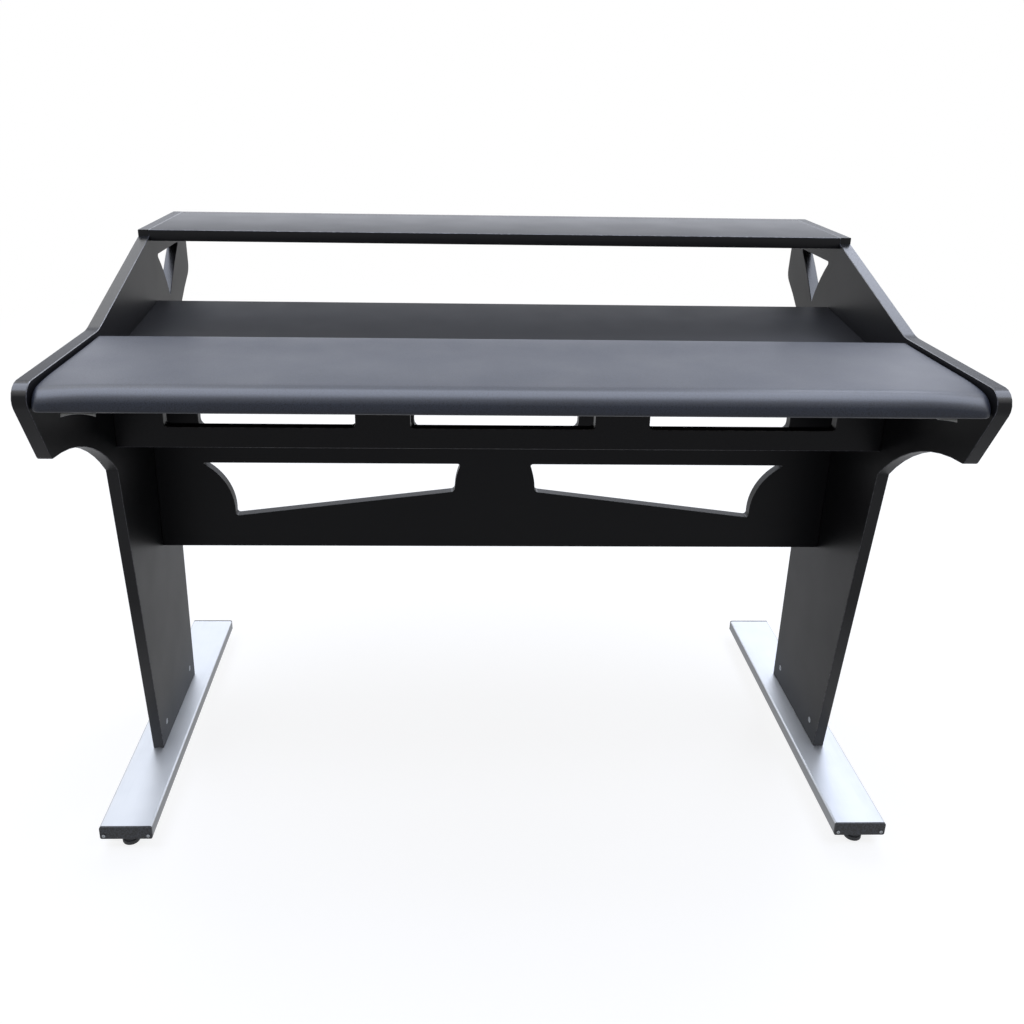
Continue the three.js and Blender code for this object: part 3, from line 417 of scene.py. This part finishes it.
def cushion_skin():
    """The cushion before it is filled: a rounded rectangle in (y, z) carried along x and drawn in
    at its ends by quarter circles in plan and height. Its top is crowned by the fourth power of
    the distance from the middle, its front corners droop by a squared falloff, and each end face
    is pulled in along a parabola and closes on the middle line between the points above and below."""
    half = cushion_high[0]
    ease = 1 - np.cos(np.linspace(0, pi / 2, END_POINTS))
    middle = np.linspace(PLAN_RADIUS[-1] - half, half - PLAN_RADIUS[1], int(2 * half / CUSHION_STEP))
    x = np.concatenate([PLAN_RADIUS[-1] * ease - half, middle[1:-1], half - PLAN_RADIUS[1] * ease[::-1]])
    depth = half - np.abs(x)
    front = cushion_low[1] + round_in(depth, np.where(x < 0, PLAN_RADIUS[-1], PLAN_RADIUS[1]))
    back = cushion_high[1] - round_in(depth, END_RADIUS)
    under = board_low[2] + round_in(depth, END_RADIUS / 2)
    top = board_low[2] + CUSHION_HEIGHT - FOAM_SLACK - round_in(depth, END_RADIUS)
    squeeze = (top - under) / CUSHION_HEIGHT
    radii = [squeeze * radius for radius in (UNDER_RADIUS, HEM_RADIUS, BACK_RADIUS, NOSE_RADIUS)]
    section = rounded_section(front, back, under, top, radii)
    y, z = section[..., 0], section[..., 1]
    across = (2 * y - cushion_low[1] - cushion_high[1]) / (cushion_high[1] - cushion_low[1])
    height = (z - board_low[2]) / CUSHION_HEIGHT
    along = (x / half)[:, None]
    near_end = np.clip(1 - depth[:, None] / DROOP_REACH[0], 0, 1)
    near_front = np.clip(1 - (y - cushion_low[1]) / DROOP_REACH[1], 0, 1)
    crown = CROWN * (1 - across ** 4) * (1 - along ** 4)
    droop = np.where(along < 0, CORNER_DROOP[-1], CORNER_DROOP[1])
    z = z + height * (crown - droop * near_end ** 2 * near_front ** 2)
    x = x[:, None] - END_PULL * (1 - across ** 2) * along ** 3
    points = np.stack([x, y, z], axis=-1)
    rings = []
    for face in (points[0], points[-1]):
        across_from = np.concatenate([face[-2::-1], face[-1:]])
        centre = (face + across_from) / 2
        rings.append([centre + share * (face - centre) for share in END_RING_SHARES])
    return np.concatenate([rings[0], points, rings[1][::-1]])


def fill_with_air(piece, held):
    """Blows the closed skin up with cloth under pressure and holds the points in held. Each move is
    kept to PUFF_LIMIT, move * min(1, limit / |move|), and then evened out, by taking the mean of a
    point's and its neighbours' moves some times over."""
    mesh = piece.data
    before = np.empty(len(mesh.vertices) * 3)
    mesh.vertices.foreach_get("co", before)
    group = piece.vertex_groups.new(name="held")
    group.add(np.flatnonzero(held).tolist(), 1.0, "REPLACE")
    cloth = piece.modifiers.new("filling", "CLOTH")
    setup = cloth.settings
    setup.quality = 6
    setup.mass = 0.4
    setup.tension_stiffness = setup.compression_stiffness = 30
    setup.bending_stiffness = 2
    setup.use_pressure = True
    setup.uniform_pressure_force = AIR_PRESSURE
    setup.vertex_group_mass = "held"
    setup.effector_weights.gravity = 0
    cloth.point_cache.frame_start, cloth.point_cache.frame_end = 1, FILL_FRAMES
    for step in range(1, FILL_FRAMES + 1):
        bpy.context.scene.frame_set(step)
    shaped = piece.evaluated_get(bpy.context.evaluated_depsgraph_get()).to_mesh()
    after = np.empty(len(shaped.vertices) * 3)
    shaped.vertices.foreach_get("co", after)
    piece.modifiers.remove(cloth)
    piece.vertex_groups.remove(group)
    bpy.context.scene.frame_set(1)
    move = (after - before).reshape(-1, 3)
    length = np.linalg.norm(move, axis=1, keepdims=True)
    move *= np.minimum(1, PUFF_LIMIT / np.maximum(length, 1e-9))
    edges = np.empty(len(mesh.edges) * 2, np.int32)
    mesh.edges.foreach_get("vertices", edges)
    here, there = np.concatenate([edges.reshape(-1, 2), edges.reshape(-1, 2)[:, ::-1]]).T
    joined = np.bincount(here, minlength=len(move))[:, None] + 1
    for _ in range(EVENING_ROUNDS):
        around = [np.bincount(here, move[there, axis], len(move)) for axis in range(3)]
        move = (move + np.stack(around, axis=-1)) / joined
        move[held] = 0
    mesh.vertices.foreach_set("co", before + move.ravel())
    mesh.update()


def armrest_skin():
    """The leatherette cushion, filled, and held down on its board. Its underside is drawn up inside
    the board, so that the board's own face shows between the hems."""
    points, faces = closed_mesh(cushion_skin())
    over_board = np.all((points[:, :2] > board_low[:2] + BOARD_RIM)
                        & (points[:, :2] < board_high[:2] - BOARD_RIM), axis=1)
    below = points[:, 2] < board_low[2] + HELD_HEIGHT
    at_end = np.abs(points[:, 0]) > cushion_high[0] - END_RADIUS
    at_back = points[:, 1] > cushion_high[1] - BACK_RADIUS / 2
    points[over_board & below, 2] += BOARD_HIDE
    piece = make_piece("armrest_skin", points, faces, skin_pvc)
    fill_with_air(piece, below | at_end | at_back)
    finer = piece.modifiers.new("finer", "SUBSURF")
    finer.levels = finer.render_levels = 1
    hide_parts("armrest_cushion")


# The leatherette turned under and stapled to the board, as (fold's y, way to its cut edge, width)
HEM_WIDTH, BACK_HEM_SHARE = 26 * MM, 0.62
HEM_THICKNESS, HEM_GAP = 0.7 * MM, 0.1 * MM
FRONT_TURN, BACK_TURN, END_TURN = 7 * MM, 4 * MM, 6 * MM
front_fold, back_fold = cushion_low[1] + FRONT_TURN, cushion_high[1] - BACK_TURN
hem_end = board_high[0] - END_TURN
HEMS = {"front": (front_fold, 1, HEM_WIDTH), "back": (back_fold, -1, HEM_WIDTH * BACK_HEM_SHARE)}
# Height, wavelength over 2 pi and start of each wave along a hem
CUT_WAVES = ((1.6 * MM, 37 * MM, 0), (0.9 * MM, 11 * MM, 1))
RIPPLE_HEIGHT, RIPPLE_LENGTH = 0.15 * MM, 15 * MM
STAPLE_PITCH, STAPLE_WIDTH, STAPLE_WIRE = 48 * MM, 10 * MM, 0.6 * MM
STAPLE_LEG, STAPLE_SHOULDER, STAPLE_ROUND = 1.2 * MM, 0.2 * MM, 0.5 * MM
STAPLE_GAP, STAPLE_SHARE = 0.15 * MM, 0.55
STRAY_ALONG, STRAY_ACROSS, STRAY_TURN = 3 * MM, 2 * MM, 0.15
HEM_COLUMNS, FLAP_ROWS, WIRE_SIDES = 160, 17, 6


def hem_strip(name, fold_y, inward, width):
    """A strip under the board along x: its fold is straight, and its cut edge wanders by two sines."""
    x = np.linspace(-hem_end, hem_end, HEM_COLUMNS)[:, None]
    share = np.linspace(0, 1, 5)
    wander = sum(height * np.sin(x / length + start) for height, length, start in CUT_WAVES)
    y = fold_y + inward * share * (width + wander * share)
    ripple = RIPPLE_HEIGHT * share * np.sin(x / RIPPLE_LENGTH)
    grid = grid_of(x, y, board_low[2] - HEM_GAP - np.abs(ripple))
    faces = grid_faces(*grid.shape[:2])
    # Both strips look up, and so their walls grow into the board
    if inward > 0:
        faces = faces[:, ::-1]
    piece = make_piece("hem_" + name, grid.reshape(-1, 3), faces, skin_pvc)
    thicken(piece, HEM_THICKNESS, offset=1)


def hem_staples():
    """Staples under both hems: each is a flattened wire, carried across its width and bent up into
    the board at both ends. Sines of their count put them a little out of line."""
    turn = np.linspace(0, 2 * pi, WIRE_SIDES, endpoint=False)
    wire_y, wire_z = 0.5 * STAPLE_WIRE * np.cos(turn), 0.35 * STAPLE_WIRE * np.sin(turn)
    half = STAPLE_WIDTH / 2
    path_x = np.array([-half, -half, STAPLE_ROUND - half, half - STAPLE_ROUND, half, half])[:, None]
    path_z = np.array([STAPLE_LEG, STAPLE_SHOULDER, 0, 0, STAPLE_SHOULDER, STAPLE_LEG])[:, None]
    z = board_low[2] - HEM_GAP - HEM_THICKNESS - STAPLE_GAP + path_z + wire_z
    faces_of_one = grid_faces(*z.shape, closed=True)
    points, faces = [], []
    for fold_y, inward, width in HEMS.values():
        for i in range(int(2 * hem_end / STAPLE_PITCH)):
            x = -hem_end + (i + 0.5) * STAPLE_PITCH + STRAY_ALONG * np.sin(5 * i)
            y = fold_y + inward * (STAPLE_SHARE * width + STRAY_ACROSS * np.sin(3 * i))
            tilt = STRAY_TURN * np.sin(7 * i + fold_y * 100)
            staple = grid_of(x + path_x * np.cos(tilt), y + path_x * np.sin(tilt) + wire_y, z)
            faces.append(faces_of_one + len(points) * z.size)
            points.append(staple.reshape(-1, 3))
    make_piece("hem_staples", np.concatenate(points), np.concatenate(faces), bright_zinc)


# A loose corner's section, as distance in from the fold in mm and share of the drop
FLAP_SECTION = np.array([(11, 0), (5.5, 0), (1.2, 0), (0.2, 0.1), (0, 0.3), (0, 0.5), (0, 0.75), (0, 1)])
FLAP_THICKNESS, FLAP_FORWARD, FLAP_BELOW, FLAP_LEAN = 1.1 * MM, 1 * MM, 1.4 * MM, 0.3


def hem_flap(name, left, right, drops):
    """A loose corner of the hem: it lies under the board and then hangs below the front edge. Its
    lower edge is a parabola through three drops in mm, at its left, middle and right."""
    share = np.linspace(0, 1, FLAP_ROWS)[:, None]
    first, middle, last = drops
    drop = (first * (2 * share - 1) * (share - 1) + 4 * middle * share * (1 - share)
            + last * share * (2 * share - 1)) * MM
    inward, down = FLAP_SECTION[:, 0] * MM, FLAP_SECTION[:, 1]
    grid = grid_of(left + (right - left) * share,
                   front_fold - FLAP_FORWARD + inward - FLAP_LEAN * drop * down ** 2,
                   board_low[2] - FLAP_BELOW - drop * down)
    piece = make_piece(name, grid.reshape(-1, 3), grid_faces(*grid.shape[:2]), backing)
    thicken(piece, FLAP_THICKNESS, offset=0)


armrest_skin()
for end, strip in HEMS.items():
    hem_strip(end, *strip)
hem_staples()
hem_flap("hem_flap_left", left=-527 * MM, right=-487 * MM, drops=(4.2, 0.6, 3.6))
hem_flap("hem_flap_right", left=496 * MM, right=519 * MM, drops=(0.6, 1.4, 3.4))


# Screws and levellers

def cross_recess(u, v, reach):
    """A cross-shaped hollow, 0 outside and 1 inside: the softened union of two arms about the
    axes, each 0.17 * reach + 0.1 mm to either side of its axis, ended at reach."""
    arm = 0.17 * reach + 0.1 * MM
    soft = 0.08 * MM
    bars = np.maximum(np.clip((arm - np.abs(u)) / soft, 0, 1), np.clip((arm - np.abs(v)) / soft, 0, 1))
    return bars * np.clip((reach - np.hypot(u, v)) / (4 * soft), 0, 1)


def hex_recess(u, v, reach):
    """A hexagonal hollow, 0 outside and 1 inside: the largest of three distances across its flats
    stays below reach, softened over 0.1 mm."""
    angles = np.arange(3) * pi / 3
    across = np.max([np.abs(u * np.cos(a) + v * np.sin(a)) for a in angles], axis=0)
    return np.clip((reach - across) / (0.1 * MM), 0, 1)


# Each kind's drive, and its head radius, shank radius, head height, crown height, drive's reach
# and drive's depth in mm
SCREW_KINDS = {
    "cap": (cross_recess, (2.6, 1.7, 1.2, 0.5, 1.5, 0.9)),
    "bracket": (cross_recess, (3.8, 1.9, 2.2, 0.9, 2.2, 1.3)),
    "connector": (hex_recess, (5.0, 3.5, 2.5, 0.1, 2.0, 2.0)),
}
HEAD_FLAT_SHARE, HEAD_CHAMFER = 0.96, 0.15 * MM
DOME_RINGS, SCREW_COLUMNS = 18, 48


def turned_screw(node, kind, toward):
    """A screw turned about its axis, its head facing toward: a shank and a head whose top is a
    shallow dome, crown * (1 - (r / R)^2), less the drive's hollow."""
    recess, sizes = SCREW_KINDS[kind]
    head, shank, height, crown, reach, depth = np.array(sizes) * MM
    low, high = (np.array(corner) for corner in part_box(node))
    axis = int(np.argmax(np.abs(toward)))
    sign = toward[axis]
    length = (high - low)[axis]
    rim, seat = length - crown, length - height
    side = np.array([(0, 0), (shank, 0), (shank, seat), (head * HEAD_FLAT_SHARE, seat),
                     (head, seat + HEAD_CHAMFER), (head, rim - HEAD_CHAMFER)])
    radius = head * np.linspace(HEAD_FLAT_SHARE, 0, DOME_RINGS)
    dome = np.stack([radius, rim + crown * (1 - (radius / head) ** 2)], axis=-1)
    rings = np.concatenate([side, dome])
    turn = np.linspace(0, 2 * pi, SCREW_COLUMNS, endpoint=False)
    u, v = rings[:, :1] * np.cos(turn), rings[:, :1] * np.sin(turn)
    on_top = (np.arange(len(rings)) >= len(side))[:, None]
    rise = rings[:, 1:] - on_top * depth * recess(u, v, reach)
    start = (low + high) / 2
    start[axis] = low[axis] if sign > 0 else high[axis]
    grid = np.tile(start, (*rise.shape, 1))
    grid[..., axis] += sign * rise
    grid[..., (axis + 1) % 3] += u
    grid[..., (axis + 2) % 3] += sign * v
    points, faces = closed_mesh(grid)
    plate = dull_zinc if kind == "cap" else bright_zinc
    piece = make_piece(node + "_turned", points, faces, plate)
    sharpen(piece, degrees=35)
    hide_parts(node)


for side, sign in SIDES.items():
    for end, way in ENDS.items():
        for edge in ("inner", "outer"):
            turned_screw(f"cap_screw_{end}_{side}_{edge}", "cap", (0, way, 0))
    turned_screw("bracket_panel_screw_" + side, "bracket", (-sign, 0, 0))
    turned_screw("bracket_board_screw_" + side, "bracket", (0, 0, -1))
for name in frame["nodes"]:
    if "_connector_" in name:
        turned_screw(name, "connector", (SIDES[name.rsplit("_", 1)[1]], 0, 0))

# Rings of the levellers, as radius and height in mm
BASE_RINGS = np.array([(0, 0), (12.3, 0), (13.1, 0.35), (13.5, 1.2), (13.5, 5.8), (13.1, 6.65), (12.3, 7),
                       (11, 7), (10.5, 7.6), (10.5, 19.1), (10.1, 19.5), (4.2, 19.5), (4.2, 6), (0, 6)])
STUD_HEAD_RINGS = np.array([(0, 0), (5.7, 0), (6, 0.3), (6, 1.7), (5.7, 2), (4, 2)])
RIB_COUNT, RIB_DEPTH, RIB_COLUMNS = 36, 0.45 * MM, 5
STUD_RADIUS, TIP_RADIUS, TIP_HEIGHT, HEAD_HEIGHT = 4 * MM, 3.3 * MM, 0.6 * MM, 2 * MM
THREAD_PITCH, THREAD_DEPTH, THREAD_ROWS, THREAD_COLUMNS = 1.25 * MM, 0.65 * MM, 6, 24
THREAD_LIFT, RUN_OUT_START, RUN_OUT_LENGTH = 0.02 * MM, 2.2 * MM, 1 * MM


def upright_piece(node, body, rings, ribs, finish, columns):
    """A piece turned about the upright axis of its node: each ring is (radius, height), and ribs
    gives how far each point is drawn in towards the axis, from its angle and its row."""
    low, high = (np.array(corner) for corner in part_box(node))
    turn = np.linspace(0, 2 * pi, columns, endpoint=False)
    radius = np.maximum(rings[:, :1] - ribs(turn, rings), 0)
    grid = grid_of((low[0] + high[0]) / 2 + radius * np.cos(turn),
                   (low[1] + high[1]) / 2 + radius * np.sin(turn),
                   low[2] + rings[:, 1:])
    points, faces = closed_mesh(grid)
    piece = make_piece(node + "_turned", points, faces, finish, body)
    sharpen(piece, degrees=40)
    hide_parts(node)


def thread_ribs(turn, rings):
    """A right-hand thread: depth * the triangle wave of height / pitch - angle / (2 pi), on the
    rings above the head."""
    phase = rings[:, 1:] / THREAD_PITCH - turn / (2 * pi)
    wave = np.abs(2 * (phase % 1) - 1)
    run_out = np.clip((rings[:, 1:] - RUN_OUT_START) / RUN_OUT_LENGTH, 0, 1) * (rings[:, :1] > 0)
    return THREAD_DEPTH * wave * run_out


def rim_ribs(turn, rings):
    """Upright grip ribs on the rim: depth * (1 + cos(count * angle)) / 2 on its widest rings."""
    on_side = rings[:, :1] == rings[:, 0].max()
    return RIB_DEPTH * on_side * (1 + np.cos(RIB_COUNT * turn)) / 2


def leveller(tag):
    """The ribbed base that stands on the floor, and the threaded stud that turns in it."""
    upright_piece("leveller_base_" + tag, "base_" + tag, BASE_RINGS * MM, rim_ribs, polypropylene,
                  columns=RIB_COLUMNS * RIB_COUNT)
    low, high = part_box("leveller_stud_" + tag)
    length = high[2] - low[2]
    thread = THREAD_LIFT + np.arange(HEAD_HEIGHT, length - TIP_HEIGHT, THREAD_PITCH / THREAD_ROWS)
    shank = np.stack([np.full(len(thread), STUD_RADIUS), thread], axis=-1)
    tip = np.array([(TIP_RADIUS, length), (0, length)])
    upright_piece("leveller_stud_" + tag, "stud_" + tag,
                  np.concatenate([STUD_HEAD_RINGS * MM, shank, tip]), thread_ribs, bright_zinc,
                  columns=THREAD_COLUMNS)


for side in SIDES:
    for end in ENDS:
        leveller(f"{end}_{side}")


# Light, floor and camera

AMBIENT_SHARE = 0.2
FLOOR_LIFT, FLOOR_FADE, FLOOR_REACH = 0.82, (1.5, 4), 30


def stand_lamp(name, place, turn, size, radiance, colour):
    """A rectangular soft box at place, turned by degrees about x, y and z from looking straight
    down. Its power is radiance * pi * area."""
    lamp = bpy.data.lights.new(name, "AREA")
    lamp.shape = "RECTANGLE"
    lamp.size, lamp.size_y = size
    lamp.energy = radiance * pi * size[0] * size[1]
    lamp.color = linear(colour)[:3]
    stand = bpy.data.objects.new(name, lamp)
    stand.location = place
    stand.rotation_euler = [radians(angle) for angle in turn]
    bpy.context.scene.collection.objects.link(stand)


stand_lamp("rear_soft_box", place=(0.3, 4.2, 2.4), turn=(-68, 0, 0), size=(7, 4), radiance=1.15,
           colour="#e6edff")
stand_lamp("overhead_box", place=(0, -0.35, 3), turn=(0, 0, 0), size=(5, 2.5), radiance=2.5,
           colour="#dce6ff")
stand_lamp("right_key", place=(2.0, 2.3, 3.3), turn=(-38, 32, 0), size=(1.1, 1.1), radiance=5.3,
           colour="#e2eaff")
stand_lamp("left_key", place=(-1.8, 2.1, 3.3), turn=(-36, -30, 0), size=(1.0, 1.0), radiance=2.1,
           colour="#f4f4f2")


def white_surround(tree):
    """What makes a surround white to the eye and dim to the object, as (shown, strength). shown is
    1 on rays from the camera, gloss or glass and 0 on others, and strength is
    AMBIENT_SHARE + (1 - AMBIENT_SHARE) * shown."""
    ray = add(tree, "LightPath")
    straight = add(tree, "Math", {0: ray.outputs["Is Camera Ray"], 1: ray.outputs["Is Glossy Ray"]},
                   operation="MAXIMUM")
    shown = add(tree, "Math", {0: straight, 1: ray.outputs["Is Transmission Ray"]}, operation="MAXIMUM")
    return shown, add(tree, "MapRange", {"Value": shown, "To Min": AMBIENT_SHARE, "To Max": 1})


world = bpy.data.worlds.new("studio")
bpy.context.scene.world = world
world.use_nodes = True
air = world.node_tree
_, brightness = white_surround(air)
wire(air, air.nodes["Background"], {"Strength": brightness, "Color": (1, 1, 1, 1)})


def pale_floor():
    """A wide pale floor that fades into the white background between two radii."""
    material, tree, shader = new_material("painted_floor")
    place = add(tree, "TexCoord")
    far = add(tree, "VectorMath", {0: place.outputs["Object"]}, operation="LENGTH")
    fade = add(tree, "MapRange", {"Value": far.outputs["Value"], "From Min": FLOOR_FADE[0],
                                  "From Max": FLOOR_FADE[1]})
    shown, strength = white_surround(tree)
    lifted = add(tree, "Math", {0: shown, 1: FLOOR_LIFT}, operation="MULTIPLY")
    glow = add(tree, "Emission", {"Strength": strength})
    lift = add(tree, "Emission", {"Strength": lifted})
    paint = add(tree, "AddShader", {0: shader, 1: lift})
    mixed = add(tree, "MixShader", {0: fade, 1: paint, 2: glow})
    wire(tree, shader, {"Base Color": linear("#909090"), "Roughness": 0.9, "Specular IOR Level": 0.1})
    wire(tree, tree.nodes["Material Output"], {"Surface": mixed})
    mesh = bpy.data.meshes.new("floor")
    ways = ((-1, -1), (1, -1), (1, 1), (-1, 1))
    mesh.from_pydata([(FLOOR_REACH * x, FLOOR_REACH * y, 0) for x, y in ways], [], [(0, 1, 2, 3)])
    mesh.materials.append(material)
    floor = bpy.data.objects.new("floor", mesh)
    bpy.context.scene.collection.objects.link(floor)


pale_floor()

SENSOR_WIDTH, FOCAL_LENGTH, LENS_SHIFT = 36, 34.453, (0.0399, -0.0850)
CAMERA_PLACE, CAMERA_TURN = (-0.08694, -1.44792, 1.13865), (70.2527, -0.8941, -1.4046)

lens = bpy.data.cameras.new("camera")
lens.sensor_width = SENSOR_WIDTH
lens.lens = FOCAL_LENGTH
lens.shift_x, lens.shift_y = LENS_SHIFT
camera = bpy.data.objects.new("camera", lens)
camera.location = CAMERA_PLACE
camera.rotation_euler = [radians(angle) for angle in CAMERA_TURN]
bpy.context.scene.collection.objects.link(camera)
bpy.context.scene.camera = camera
bpy.context.scene.view_settings.view_transform = "Standard"
